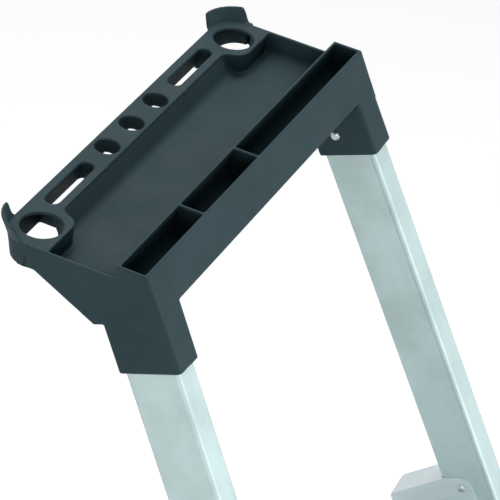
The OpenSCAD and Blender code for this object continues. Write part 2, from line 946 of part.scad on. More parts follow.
module platform_nosing()
{
    low = -platform_thick / 2;
    high = platform_thick / 2;
    color([0.16, 0.22, 0.25])
        at_platform()
            prism_x(-platform_half, platform_half, rounded([[-platform_front + 4, low], [-platform_front + 4, high], [-platform_front - 3, high], [-platform_front - 3, low]], [0, 0, 5, 5], 6));
}

module platform_hooks()
{
    low = -platform_thick / 2;
    y = rest_y - platform_y;
    color([0.16, 0.22, 0.25])
        at_platform()
            for (x = [-hook_x, hook_x])
                difference()
                {
                    prism_x(x - 20, x + 20, rounded([[y - 16, low], [y - 16, low - saddle], [y + rest_radius + 0.5, low - saddle], [y + rest_radius + 0.5, low - 20], [y + rest_radius + 6.5, low - 20], [y + rest_radius + 6.5, low]], [0, 2, 0, 2, 2, 0], 4));
                    for (d = [-10, 10])
                        translate([x + d, y - 11, low - 8])
                            cylinder(h = 10, r = rivet_shank);
                }
}

module platform_bushes()
{
    color([0.12, 0.13, 0.14])
        pair()
            at_platform()
                difference()
                {
                    rod_x(platform_half - 13.5, platform_half + 0.4, 7.2);
                    rod_x(platform_half - 20, platform_half + 2, pin_radius + pin_clearance);
                }
}

module platform_rivets()
{
    low = -platform_thick / 2;
    color([0.78, 0.8, 0.81])
        at_platform()
        {
            for (x = [-hook_x, hook_x])
                for (d = [-10, 10])
                    translate([x + d, rest_y - platform_y - 11, low - saddle])
                        rotate([0, 90, 0])
                            rivet(5.5);
            pair()
                for (y = [24, platform_back - 20])
                    translate([platform_half, y, 0])
                        rivet(7);
        }
}

// ---------- rear section ----------
rest_socket = 13;
function leg_mid_at(d) = leg_x + d * sin(splay);
leg_top = 18;
module leg_outline(grow)
{
    polygon(rounded(box_pts(-leg_width / 2 - grow, -leg_flat - grow, leg_width / 2 + grow, leg_flat + grow), 2.5 + grow, 4));
}
function socket_rivets_at() = [-rest_along - 19, -rest_along + 19];
function strut_low_at() = lower_brace_at - 90;

module right_leg_body()
{
    length = pivot_z / cos(rear_lean) + 60;
    difference()
    {
        leg_frame()
            difference()
            {
                translate([0, 0, -length])
                    linear_extrude(length + leg_top)
                        difference()
                        {
                            leg_outline(0);
                            leg_outline(-leg_wall);
                        }
                for (z = socket_rivets_at())
                    translate([-leg_width / 2, 0, z])
                        rod_x(-3, 3, rivet_shank);
                for (d = [upper_brace_at, lower_brace_at, strut_low_at()])
                    translate([0, leg_flat, -d])
                        rotate([90, 0, 0])
                            translate([0, 0, -3])
                                cylinder(h = 6, r = rivet_shank + 0.1);
            }
        translate([leg_x, pivot_y, pivot_z])
            rod_x(-40, 40, 8);
        below_floor(sole);
    }
}

module right_rear_leg()
{
    color([0.74, 0.8, 0.81])
        right_leg_body();
}

module left_rear_leg()
{
    color([0.74, 0.8, 0.81])
        mirror([1, 0, 0])
            right_leg_body();
}

module rear_leg_caps()
{
    color([0.12, 0.13, 0.14])
        pair()
            leg_frame()
            {
                translate([0, 0, leg_top])
                    linear_extrude(2.5)
                        leg_outline(0);
                translate([0, 0, leg_top - 8])
                    linear_extrude(8.5)
                        difference()
                        {
                            leg_outline(-leg_wall);
                            leg_outline(-leg_wall - 1.8);
                        }
            }
}

module rear_pivot_bushes()
{
    w = leg_width / 2;
    color([0.85, 0.86, 0.84])
        pair()
            translate([leg_x, pivot_y, pivot_z])
                difference()
                {
                    union()
                    {
                        rod_x(-w - 0.6, w + 0.6, 8);
                        rod_x(w + 0.5, w + 1.1, 9.5);
                        rod_x(-w - 1.1, -w - 0.5, 9.5);
                    }
                    rod_x(-w - 2, w + 2, pin_radius + pin_clearance);
                }
}

module platform_rest_tube()
{
    reach = leg_x + rest_along * flare - leg_width / 2 - 1.6;
    color([0.76, 0.81, 0.82])
        translate([0, rest_y, rest_z])
            difference()
            {
                rod_x(-reach, reach, rest_radius);
                rod_x(-reach - 1, reach + 1, rest_radius - 1.6);
            }
}

module rest_tube_sockets()
{
    face = leg_x + rest_along * flare - leg_width / 2;
    color([0.16, 0.22, 0.25])
        pair()
            difference()
            {
                union()
                {
                    leg_frame()
                        difference()
                        {
                            prism_x(-leg_width / 2 - 3, -leg_width / 2, rounded(box_pts(-14, -rest_along - 27, 14, -rest_along + 27), 8, 6));
                            for (z = socket_rivets_at())
                                translate([-leg_width / 2, 0, z])
                                    rod_x(-4, 2, rivet_shank);
                        }
                    difference()
                    {
                        translate([0, rest_y, rest_z])
                            rod_x(face - rest_socket, face, rest_radius + 2.4);
                        leg_frame()
                            translate([-leg_width / 2 - 2.9, -60, -rest_along - 60])
                                cube([60, 120, 120]);
                    }
                }
                translate([0, rest_y, rest_z])
                    rod_x(face - rest_socket - 1, face - 1.6, rest_radius);
            }
}

// Flat web across the backs of the legs, with lips between the legs
module brace_at(d)
{
    over = leg_mid_at(d) + leg_width / 2 - 1;
    inner = leg_mid_at(d) - leg_width / 2 - brace_height / 2 * flare - 1;
    color([0.74, 0.8, 0.81])
        rear_frame()
            translate([0, 0, -d * cos(splay)])
                difference()
                {
                    union()
                    {
                        translate([-over, leg_flat, -brace_height / 2])
                            cube([over * 2, 2.2, brace_height]);
                        for (z = [-brace_height / 2, brace_height / 2 - 2])
                            translate([-inner, leg_flat - 10, z])
                                cube([inner * 2, 10.5, 2]);
                    }
                    pair()
                        translate([leg_mid_at(d), leg_flat, 0])
                            rotate([90, 0, 0])
                                translate([0, 0, -3])
                                    cylinder(h = 6, r = rivet_shank);
                    if (d == upper_brace_at)
                        pair()
                            translate([strut_top_x, leg_flat, 0])
                                rotate([90, 0, 0])
                                    translate([0, 0, -3])
                                        cylinder(h = 6, r = rivet_shank);
                }
}
strut_top_x = 24;

module upper_rear_brace()
{
    brace_at(upper_brace_at);
}

module lower_rear_brace()
{
    brace_at(lower_brace_at);
}

// Struts from the middle of the upper brace down to the legs, over the backs of the braces
module diagonal_struts()
{
    low = [leg_mid_at(strut_low_at()), -strut_low_at() * cos(splay)];
    high = [strut_top_x, -upper_brace_at * cos(splay)];
    run = high - low;
    angle = atan2(run[1], run[0]);
    color([0.74, 0.8, 0.81])
        pair()
            rear_frame()
                translate([low[0], leg_flat + 2.2 + 2.5, low[1]])
                    rotate([90, 0, 0])
                        linear_extrude(2.5)
                            rotate([0, 0, angle])
                                difference()
                                {
                                    polygon(rounded(box_pts(-11, -10.5, norm(run) + 11, 10.5), 8, 5));
                                    circle(r = rivet_shank);
                                    translate([norm(run), 0])
                                        circle(r = rivet_shank);
                                }
}

module strut_washers()
{
    color([0.12, 0.13, 0.14])
        pair()
            rear_frame()
                translate([leg_mid_at(strut_low_at()), leg_flat + 2.2, -strut_low_at() * cos(splay)])
                    rotate([90, 0, 0])
                        difference()
                        {
                            cylinder(h = 2.2, r = 8.5);
                            translate([0, 0, -1])
                                cylinder(h = 4, r = rivet_shank);
                        }
}

// Rivet standing on the back of the rear section at a point across and below the pivot
module back_rivet(x, d, seat, grip)
{
    rear_frame()
        translate([x, leg_flat + seat, -d * cos(splay)])
            rotate([0, 0, 90])
                rivet(grip);
}

module rear_brace_rivets()
{
    color([0.78, 0.8, 0.81])
        pair()
        {
            for (d = [upper_brace_at, lower_brace_at])
                back_rivet(leg_mid_at(d), d, 2.2, 5);
            back_rivet(leg_mid_at(strut_low_at()), strut_low_at(), 4.7, 7.5);
            back_rivet(strut_top_x, upper_brace_at, 4.7, 6);
            leg_frame()
                for (z = socket_rivets_at())
                    translate([-leg_width / 2 - 3, 0, z])
                        mirror([1, 0, 0])
                            rivet(6);
        }
}

// ---------- feet ----------
// Boot over the end of a stile or leg: level sole with grooves
module boot_body(length)
{
    difference()
    {
        children(0);
        children(1);
        below_floor(0);
    }
}

module sole_grooves(y, span)
{
    for (k = [-1:1])
        translate([0, y + k * span / 4, 0])
            prism_x(-400, 400, [[-2, -1], [2, -1], [1.4, 2.2], [-1.4, 2.2]]);
}

module right_front_boot()
{
    length = top_z / ct;
    foot_y = tray_y - top_z * tan(front_lean) + stile_mid / ct;
    difference()
    {
        stile_frame()
            translate([0, 0, -length - 60])
                linear_extrude(foot_height + 60)
                    stile_outline(foot_wall);
        difference()
        {
            stile_frame()
                translate([0, 0, -length - 60])
                    linear_extrude(foot_height + 80)
                        stile_outline(0);
            below_floor(sole);
        }
        below_floor(0);
        sole_grooves(foot_y, (stile_depth + 2 * foot_wall) / ct);
    }
}

module right_front_foot()
{
    color([0.12, 0.14, 0.15])
        right_front_boot();
}

module left_front_foot()
{
    color([0.12, 0.14, 0.15])
        mirror([1, 0, 0])
            right_front_boot();
}

module right_rear_boot()
{
    length = pivot_z / cos(rear_lean);
    foot_y = pivot_y + pivot_z * tan(rear_lean);
    difference()
    {
        leg_frame()
            translate([0, 0, -length - 50])
                linear_extrude(foot_height + 44)
                    leg_outline(foot_wall);
        difference()
        {
            leg_frame()
                translate([0, 0, -length - 50])
                    linear_extrude(foot_height + 80)
                        leg_outline(0);
            below_floor(sole);
        }
        below_floor(0);
        sole_grooves(foot_y, (leg_depth + 2 * foot_wall) / cos(rear_lean));
    }
}

module right_rear_foot()
{
    color([0.12, 0.14, 0.15])
        right_rear_boot();
}

module left_rear_foot()
{
    color([0.12, 0.14, 0.15])
        mirror([1, 0, 0])
            right_rear_boot();
}

tool_tray();
left_front_stile();
right_front_stile();
lower_tread();
middle_tread();
upper_tread();
tread_cleats();
tread_rivets();
tray_rivets();
left_hinge_bracket();
right_hinge_bracket();
bracket_rivets();
rear_pivot_pins();
platform_pivot_plates();
platform_pivot_pins();
platform_spacers();
left_front_foot();
right_front_foot();
platform_deck();
left_platform_rail();
right_platform_rail();
platform_nosing();
platform_hooks();
platform_bushes();
platform_rivets();
left_rear_leg();
right_rear_leg();
rear_leg_caps();
rear_pivot_bushes();
platform_rest_tube();
rest_tube_sockets();
upper_rear_brace();
lower_rear_brace();
diagonal_struts();
strut_washers();
rear_brace_rivets();
left_rear_foot();
right_rear_foot();
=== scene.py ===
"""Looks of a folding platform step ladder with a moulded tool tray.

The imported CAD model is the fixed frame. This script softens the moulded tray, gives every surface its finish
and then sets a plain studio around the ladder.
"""

import json
import logging
import math
from dataclasses import dataclass, field
from enum import Enum
from typing import Callable, Iterable

import bmesh
import bpy
from mathutils import Matrix, Vector

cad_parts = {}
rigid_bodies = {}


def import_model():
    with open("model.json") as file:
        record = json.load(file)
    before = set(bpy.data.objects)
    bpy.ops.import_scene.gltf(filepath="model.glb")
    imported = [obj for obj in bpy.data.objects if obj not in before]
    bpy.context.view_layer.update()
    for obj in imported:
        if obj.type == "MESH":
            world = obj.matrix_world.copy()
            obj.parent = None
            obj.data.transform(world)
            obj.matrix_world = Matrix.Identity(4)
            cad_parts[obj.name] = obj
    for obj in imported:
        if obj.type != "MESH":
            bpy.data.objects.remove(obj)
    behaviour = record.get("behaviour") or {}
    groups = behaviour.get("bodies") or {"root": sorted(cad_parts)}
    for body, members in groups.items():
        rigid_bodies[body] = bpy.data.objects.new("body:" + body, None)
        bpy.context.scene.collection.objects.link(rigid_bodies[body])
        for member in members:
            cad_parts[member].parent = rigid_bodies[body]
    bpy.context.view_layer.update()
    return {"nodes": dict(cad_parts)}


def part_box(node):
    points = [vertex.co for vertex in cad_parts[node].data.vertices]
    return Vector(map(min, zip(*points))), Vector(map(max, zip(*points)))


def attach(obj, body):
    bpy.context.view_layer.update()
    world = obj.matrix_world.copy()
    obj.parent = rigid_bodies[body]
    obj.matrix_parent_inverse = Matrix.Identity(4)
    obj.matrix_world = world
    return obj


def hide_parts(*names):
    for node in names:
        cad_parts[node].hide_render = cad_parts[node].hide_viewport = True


LOG = logging.getLogger("step_ladder")
MM = 0.001

for leftover in list(bpy.data.objects):
    bpy.data.objects.remove(leftover)
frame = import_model()

Colour = tuple[float, float, float]
Point = tuple[float, float, float]


class Body(Enum):
    """Rigid bodies of the ladder."""

    FRONT = "front_section"
    PLATFORM = "platform"
    REAR = "rear_section"


class Slot(Enum):
    """Material slots of the record."""

    SATIN = "satin_aluminium"
    BRIGHT = "bright_aluminium"
    SLATE = "slate_plastic"
    BLACK = "black_plastic"
    NYLON = "pale_nylon"
    RIVET = "rivet_steel"


class Side(Enum):
    """The two sides of the ladder, as signs of X."""

    LEFT = -1
    RIGHT = 1


# ---------- node helpers ----------
class Graph:
    """Short calls for building one node tree."""

    def __init__(self, tree: bpy.types.NodeTree) -> None:
        """Keeps the tree that the calls add to.

        Args:
            tree: The node tree of a material, a group or the world.
        """
        self.tree = tree

    def add(self, kind: str, inputs: dict | None = None, **settings: object) -> bpy.types.Node:
        """Adds a node.

        Args:
            kind: The node type, without its ShaderNode prefix.
            inputs: Values or output sockets by input name or number.
            **settings: Properties set on the node itself.

        Returns:
            The new node.
        """
        node = self.tree.nodes.new("ShaderNode" + kind)
        for key, value in settings.items():
            setattr(node, key, value)
        for key, value in (inputs or {}).items():
            socket = node.inputs[key]
            if isinstance(value, bpy.types.NodeSocket):
                self.tree.links.new(value, socket)
            else:
                socket.default_value = value
        return node

    def math(self, operation: str, *values: object, clamp: bool = False) -> bpy.types.NodeSocket:
        """Adds a Math node and returns its output."""
        node = self.add("Math", dict(enumerate(values)), operation=operation, use_clamp=clamp)
        return node.outputs[0]

    def vector_math(self, operation: str, *values: object) -> bpy.types.Node:
        """Adds a Vector Math node and returns it."""
        return self.add("VectorMath", dict(enumerate(values)), operation=operation)

    def remap(self, value: bpy.types.NodeSocket, low: float, high: float, out_low: float = 0.0, out_high: float = 1.0) -> bpy.types.NodeSocket:
        """Maps a value smoothly from one range to another.

        Args:
            value: The socket to map.
            low: Value that gives out_low.
            high: Value that gives out_high.
            out_low: Result at and below low.
            out_high: Result at and above high.

        Returns:
            The mapped value's socket.
        """
        node = self.add("MapRange", {0: value, 1: low, 2: high, 3: out_low, 4: out_high}, interpolation_type="SMOOTHSTEP")
        return node.outputs[0]

    def noise(self, vector: bpy.types.NodeSocket, scale: object, detail: float = 3.0, roughness: float = 0.5) -> bpy.types.NodeSocket:
        """Adds a noise texture and returns its value."""
        node = self.add("TexNoise", {"Vector": vector, "Scale": scale, "Detail": detail, "Roughness": roughness})
        return node.outputs["Fac"]

    def mix_colour(self, share: object, first: object, second: object, blend: str = "MIX") -> bpy.types.NodeSocket:
        """Mixes two colours by a share and returns the result."""
        node = self.add("Mix", data_type="RGBA", blend_type=blend)
        for index, value in ((0, share), (6, first), (7, second)):
            socket = node.inputs[index]
            if isinstance(value, bpy.types.NodeSocket):
                self.tree.links.new(value, socket)
            else:
                socket.default_value = value if index == 0 else (*value, 1.0)
        return node.outputs[2]


def group_of(name: str, inputs: dict[str, tuple[str, object]], outputs: dict[str, str],
             fill: Callable[[Graph, bpy.types.Node], dict[str, bpy.types.NodeSocket]]) -> bpy.types.NodeTree:
    """Builds a shader node group.

    Args:
        name: Name of the group.
        inputs: Socket type and default value by input name.
        outputs: Socket type by output name.
        fill: Adds the nodes and returns the socket of each output.

    Returns:
        The finished group.
    """
    tree = bpy.data.node_groups.new(name, "ShaderNodeTree")
    for key, (kind, default) in inputs.items():
        socket = tree.interface.new_socket(key, in_out="INPUT", socket_type=kind)
        if default is not None:
            socket.default_value = default
    for key, kind in outputs.items():
        tree.interface.new_socket(key, in_out="OUTPUT", socket_type=kind)
    graph = Graph(tree)
    start = tree.nodes.new("NodeGroupInput")
    end = tree.nodes.new("NodeGroupOutput")
    for key, socket in fill(graph, start).items():
        tree.links.new(socket, end.inputs[key])
    return tree


FLOAT, COLOUR, VECTOR = "NodeSocketFloat", "NodeSocketColor", "NodeSocketVector"


class Effects:
    """Node groups shared by the finishes: soft edges, moulded grain, drawing lines, marks and dust."""

    def __init__(self) -> None:
        """Builds all the groups."""
        self.soft_edge = group_of(
            "Soft Edge", {"Radius": (FLOAT, 0.001)}, {"Normal": VECTOR, "Edge": FLOAT}, self._soft_edge)
        self.grain = group_of(
            "Moulded Grain", {"Vector": (VECTOR, None), "Grain Size": (FLOAT, 0.001)},
            {"Height": FLOAT, "Sheen Spread": FLOAT, "Tone": FLOAT}, self._grain)
        self.drawing = group_of(
            "Drawing Lines", {"Vector": (VECTOR, None), "Line Width": (FLOAT, 0.001)},
            {"Height": FLOAT, "Tone": FLOAT, "Cloud": FLOAT}, self._drawing)
        self.marks = group_of(
            "Handling Marks", {"Vector": (VECTOR, None), "Spacing": (FLOAT, 0.03), "Amount": (FLOAT, 0.5)},
            {"Mask": FLOAT}, self._marks)
        self.dust = group_of(
            "Settled Dust", {"Vector": (VECTOR, None), "Amount": (FLOAT, 0.3)}, {"Mask": FLOAT}, self._dust)
        self.recess = group_of("Recess Shade", {"Reach": (FLOAT, 0.03)}, {"Mask": FLOAT}, self._recess)

    @staticmethod
    def _soft_edge(graph: Graph, start: bpy.types.Node) -> dict[str, bpy.types.NodeSocket]:
        """Rounded normal near edges, and a mask that is 1 on them."""
        bevel = graph.add("Bevel", {"Radius": start.outputs["Radius"]}, samples=6)
        flat = graph.add("NewGeometry")
        dot = graph.vector_math("DOT_PRODUCT", bevel.outputs[0], flat.outputs["Normal"]).outputs["Value"]
        return {"Normal": bevel.outputs[0], "Edge": graph.remap(dot, 0.995, 0.86)}

    @staticmethod
    def _grain(graph: Graph, start: bpy.types.Node) -> dict[str, bpy.types.NodeSocket]:
        """Fine leathery grain of a moulding, with broad flow tones."""
        vector = start.outputs["Vector"]
        scale = graph.math("DIVIDE", 1.0, start.outputs["Grain Size"])
        fine = graph.noise(vector, scale, 2.0, 0.6)
        cells = graph.add("TexVoronoi", {"Vector": vector, "Scale": graph.math("MULTIPLY", scale, 0.7)}, feature="SMOOTH_F1")
        height = graph.math("ADD", graph.math("MULTIPLY", fine, 0.6), graph.math("MULTIPLY", cells.outputs["Distance"], 0.5))
        flow = graph.noise(vector, 9.0, 4.0, 0.6)
        return {"Height": height, "Sheen Spread": graph.noise(vector, 31.0, 5.0, 0.6), "Tone": flow}

    @staticmethod
    def _drawing(graph: Graph, start: bpy.types.Node) -> dict[str, bpy.types.NodeSocket]:
        """Die lines along local Z, and soft clouds in the satin surface."""
        vector = start.outputs["Vector"]
        scale = graph.math("DIVIDE", 1.0, start.outputs["Line Width"])
        thin = graph.vector_math("MULTIPLY", vector, (1.0, 1.0, 0.012)).outputs[0]
        lines = graph.noise(thin, scale, 3.0, 0.65)
        wide = graph.noise(thin, graph.math("MULTIPLY", scale, 0.13), 2.0, 0.5)
        height = graph.math("ADD", graph.math("MULTIPLY", lines, 0.7), graph.math("MULTIPLY", wide, 0.6))
        return {"Height": height, "Tone": lines, "Cloud": graph.noise(vector, 14.0, 5.0, 0.62)}

    @staticmethod
    def _marks(graph: Graph, start: bpy.types.Node) -> dict[str, bpy.types.NodeSocket]:
        """Sparse short scuffs from handling."""
        vector = start.outputs["Vector"]
        scale = graph.math("DIVIDE", 1.0, start.outputs["Spacing"])
        bend = graph.noise(vector, graph.math("MULTIPLY", scale, 0.5), 2.0)
        turned = graph.add("VectorRotate", {"Vector": vector, "Axis": (0.3, 0.8, 0.5), "Angle": graph.math("MULTIPLY", bend, 9.0)})
        squeezed = graph.vector_math("MULTIPLY", turned.outputs[0], (1.0, 1.0, 0.06)).outputs[0]
        threads = graph.noise(squeezed, graph.math("MULTIPLY", scale, 14.0), 2.0, 0.4)
        thin = graph.remap(threads, 0.68, 0.74)
        patches = graph.remap(graph.noise(vector, scale, 3.0), 0.52, 0.68)
        return {"Mask": graph.math("MULTIPLY", graph.math("MULTIPLY", thin, patches), start.outputs["Amount"], clamp=True)}

    @staticmethod
    def _dust(graph: Graph, start: bpy.types.Node) -> dict[str, bpy.types.NodeSocket]:
        """Pale dust that lies on surfaces facing up."""
        vector = start.outputs["Vector"]
        normal = graph.add("NewGeometry").outputs["Normal"]
        up = graph.add("SeparateXYZ", {0: normal}).outputs["Z"]
        lying = graph.remap(up, 0.55, 0.98)
        cloud = graph.remap(graph.noise(vector, 22.0, 6.0, 0.65), 0.38, 0.72)
        return {"Mask": graph.math("MULTIPLY", graph.math("MULTIPLY", lying, cloud), start.outputs["Amount"], clamp=True)}

    @staticmethod
    def _recess(graph: Graph, start: bpy.types.Node) -> dict[str, bpy.types.NodeSocket]:
        """Mask of painted shade: 1 deep inside holes and compartments, where shade falls, and 0 in the open."""
        open_share = graph.add("AmbientOcclusion", {"Distance": start.outputs["Reach"]}, samples=8).outputs["AO"]
        return {"Mask": graph.remap(open_share, 0.9, 0.3)}


EFFECTS = Effects()


def placed(graph: Graph, tree: bpy.types.NodeTree, **inputs: object) -> bpy.types.Node:
    """Places a node group in a material.

    Args:
        graph: The material's node tree.
        tree: The group to place.
        **inputs: Values by input name, with underscores for spaces.

    Returns:
        The group's node.
    """
    node = graph.tree.nodes.new("ShaderNodeGroup")
    node.node_tree = tree
    for key, value in inputs.items():
        socket = node.inputs[key.replace("_", " ")]
        if isinstance(value, bpy.types.NodeSocket):
            graph.tree.links.new(value, socket)
        else:
            socket.default_value = value
    return node


def new_material(name: str) -> tuple[bpy.types.Material, Graph, bpy.types.Node]:
    """Makes an empty node material.

    Args:
        name: Name of the material.

    Returns:
        The material, its graph and its Principled node.
    """
    material = bpy.data.materials.new(name)
    material.use_nodes = True
    material.node_tree.nodes.clear()
    graph = Graph(material.node_tree)
    shader = graph.add("BsdfPrincipled")
    end = graph.add("OutputMaterial")
    graph.tree.links.new(shader.outputs[0], end.inputs[0])
    return material, graph, shader


def turned_coordinates(graph: Graph, along: Vector) -> bpy.types.NodeSocket:
    """Object coordinates turned so that local Z runs along a direction.

    Args:
        graph: The material's node tree.
        along: Direction in the ladder's frame.

    Returns:
        The turned vector's socket.
    """
    turn = along.normalized().rotation_difference(Vector((0, 0, 1))).to_euler()
    place = graph.add("TexCoord").outputs["Object"]
    return graph.add("Mapping", {"Vector": place, "Rotation": tuple(turn)}).outputs[0]


# ---------- finishes ----------
@dataclass(frozen=True)
class Aluminium:
    """Drawn or pressed aluminium.

    Attributes:
        colour: Main colour, linear.
        light: Colour on rubbed edges and bright lines, linear.
        roughness: Mean roughness.
        line_width: Width of the die lines in metres.
        relief: Strength of the die lines' bump.
        edge: Radius of the softened edges in metres.
        marks: Amount of handling marks.
        metal: Share of metal in the shader.
        painted_edge_tone: Colour painted on the rounded edges, linear: lighter than the main colour it is a painted
            highlight, darker it is painted shade.
    """

    colour: Colour
    light: Colour
    roughness: float
    line_width: float = 0.0011
    relief: float = 0.12
    edge: float = 0.0006
    marks: float = 0.5
    metal: float = 0.9
    painted_edge_tone: Colour = (0.8, 0.86, 0.87)

    def material(self, name: str, along: Vector) -> bpy.types.Material:
        """Makes the finish with its die lines along a direction.

        Args:
            name: Name of the material.
            along: Direction of the lines.

        Returns:
            The material.
        """
        material, graph, shader = new_material(name)
        vector = turned_coordinates(graph, along)
        lines = placed(graph, EFFECTS.drawing, Vector=vector, Line_Width=self.line_width)
        edge = placed(graph, EFFECTS.soft_edge, Radius=self.edge)
        marks = placed(graph, EFFECTS.marks, Vector=vector, Spacing=0.05, Amount=self.marks)
        dust = placed(graph, EFFECTS.dust, Vector=vector, Amount=0.22)
        dull = tuple(c * 0.86 for c in self.colour)
        base = graph.mix_colour(graph.remap(lines.outputs["Cloud"], 0.3, 0.7), dull, self.colour)
        base = graph.mix_colour(graph.remap(lines.outputs["Tone"], 0.56, 0.82, 0.0, 0.35), base, self.light)
        # Painted highlight on the rounded edges, and painted shade where the edge colour is darker than the main
        # colour, as on satin.
        base = graph.mix_colour(graph.math("MULTIPLY", edge.outputs["Edge"], 0.7), base, self.painted_edge_tone)
        base = graph.mix_colour(marks.outputs["Mask"], base, self.light)
        base = graph.mix_colour(dust.outputs["Mask"], base, (0.42, 0.42, 0.4))
        rough = graph.remap(lines.outputs["Cloud"], 0.25, 0.75, self.roughness + 0.06, self.roughness - 0.05)
        rough = graph.math("ADD", rough, graph.math("MULTIPLY", lines.outputs["Tone"], 0.08))
        rough = graph.math("ADD", rough, graph.math("MULTIPLY", dust.outputs["Mask"], 0.3), clamp=True)
        bump = graph.add("Bump", {
            "Strength": self.relief, "Distance": 0.0002, "Height": lines.outputs["Height"],
            "Normal": edge.outputs["Normal"]})
        shader.inputs["Metallic"].default_value = self.metal
        for key, value in (("Base Color", base), ("Roughness", rough), ("Normal", bump.outputs[0])):
            graph.tree.links.new(value, shader.inputs[key])
        return material


@dataclass(frozen=True)
class Plastic:
    """Moulded plastic with a fine grain.

    Attributes:
        colour: Main colour, linear.
        light: Colour of the scuffs, and of the painted highlight on the edges, linear.
        roughness: Mean roughness.
        grain: Size of the grain in metres.
        relief: Strength of the grain's bump.
        edge: Radius of the softened edges in metres.
        marks: Amount of scuffs.
        dust: Amount of settled dust.
        specular: Specular level of the shader.
        reach: Distance in metres over which recesses darken.
    """

    colour: Colour
    light: Colour
    roughness: float
    grain: float = 0.0011
    relief: float = 0.2
    edge: float = 0.0009
    marks: float = 0.35
    dust: float = 0.12
    specular: float = 0.4
    reach: float = 0.04

    def material(self, name: str) -> bpy.types.Material:
        """Makes the finish.

        Args:
            name: Name of the material.

        Returns:
            The material.
        """
        material, graph, shader = new_material(name)
        vector = graph.add("TexCoord").outputs["Object"]
        grain = placed(graph, EFFECTS.grain, Vector=vector, Grain_Size=self.grain)
        edge = placed(graph, EFFECTS.soft_edge, Radius=self.edge)
        marks = placed(graph, EFFECTS.marks, Vector=vector, Spacing=0.04, Amount=self.marks)
        dust = placed(graph, EFFECTS.dust, Vector=vector, Amount=self.dust)
        deep = tuple(c * 0.84 for c in self.colour)
        base = graph.mix_colour(graph.remap(grain.outputs["Tone"], 0.32, 0.68), deep, self.colour)
        # Painted highlight: the rounded edges are lightened for the gloss they catch.
        base = graph.mix_colour(graph.math("MULTIPLY", edge.outputs["Edge"], 0.45), base, self.light)
        base = graph.mix_colour(marks.outputs["Mask"], base, self.light)
        base = graph.mix_colour(dust.outputs["Mask"], base, (0.2, 0.21, 0.2))
        # Painted shade: holes, slots and compartments darken towards near black, where little light reaches.
        recess = placed(graph, EFFECTS.recess, Reach=self.reach).outputs["Mask"]
        base = graph.mix_colour(recess, base, tuple(c * 0.22 for c in self.colour))
        rough = graph.remap(grain.outputs["Sheen Spread"], 0.25, 0.75, self.roughness - 0.07, self.roughness + 0.07)
        rough = graph.math("ADD", rough, graph.math("MULTIPLY", dust.outputs["Mask"], 0.5), clamp=True)
        bump = graph.add("Bump", {
            "Strength": self.relief, "Distance": 0.0002, "Height": grain.outputs["Height"],
            "Normal": edge.outputs["Normal"]})
        # Painted shade on the reflections too: the specular level falls in the same recesses.
        sheen = graph.remap(recess, 0.0, 1.0, self.specular, 0.03)
        for key, value in (("Base Color", base), ("Roughness", rough), ("Normal", bump.outputs[0]),
                           ("Specular IOR Level", sheen)):
            graph.tree.links.new(value, shader.inputs[key])
        return material


# Satin's edge colour is darker than its main colour: painted shade on its rounded edges.
SATIN = Aluminium(colour=(0.52, 0.65, 0.65), light=(0.66, 0.76, 0.77), roughness=0.52, metal=0.7,
                  painted_edge_tone=(0.36, 0.46, 0.46))
BRIGHT = Aluminium(colour=(0.72, 0.81, 0.84), light=(0.88, 0.92, 0.92), roughness=0.38, metal=0.75, line_width=0.0016, relief=0.06)
STEEL = Aluminium(colour=(0.5, 0.53, 0.55), light=(0.75, 0.77, 0.78), roughness=0.28, line_width=0.0009,
                  relief=0.05, edge=0.0003, marks=0.3, metal=1.0)
SLATE = Plastic(colour=(0.03, 0.062, 0.074), light=(0.075, 0.115, 0.128), roughness=0.56, specular=0.14, dust=0.02)
BLACK = Plastic(colour=(0.017, 0.018, 0.02), light=(0.06, 0.062, 0.064), roughness=0.6, marks=0.5, dust=0.2)
NYLON = Plastic(colour=(0.66, 0.66, 0.6), light=(0.8, 0.8, 0.76), roughness=0.4, relief=0.08, dust=0.05)


class Wardrobe:
    """Materials made once and put on the nodes and pieces."""

    def __init__(self) -> None:
        """Makes the plastics, which need no direction."""
        self.plastics = {
            Slot.SLATE: SLATE.material("slate_plastic_finish"),
            Slot.BLACK: BLACK.material("black_plastic_finish"),
            Slot.NYLON: NYLON.material("pale_nylon_finish"),
        }

    def dress(self, node: str, material: bpy.types.Material) -> None:
        """Puts a material on every slot of a CAD node."""
        for slot in frame["nodes"][node].material_slots:
            slot.material = material

    def dress_plastic(self, nodes: Iterable[str], slot: Slot) -> None:
        """Puts a plastic on CAD nodes."""
        for node in nodes:
            self.dress(node, self.plastics[slot])

    def dress_metal(self, nodes: Iterable[str], finish: Aluminium, name: str, along: Vector) -> None:
        """Puts a metal on CAD nodes, with its lines along a direction."""
        material = finish.material(name, along)
        for node in nodes:
            self.dress(node, material)


# ---------- sub-assemblies ----------
def lean_direction(lean: float, splay: float, side: Side) -> Vector:
    """Upward direction of a leaning and spread member.

    Args:
        lean: Lean from upright in degrees, positive when the top goes back.
        splay: Sideways spread in degrees.
        side: Side of the ladder.

    Returns:
        The unit direction.
    """
    spread, tilt = math.radians(splay), math.radians(lean)
    return Vector((-side.value * math.sin(spread), math.cos(spread) * math.sin(tilt), math.cos(spread) * math.cos(tilt)))


ACROSS = Vector((1, 0, 0))


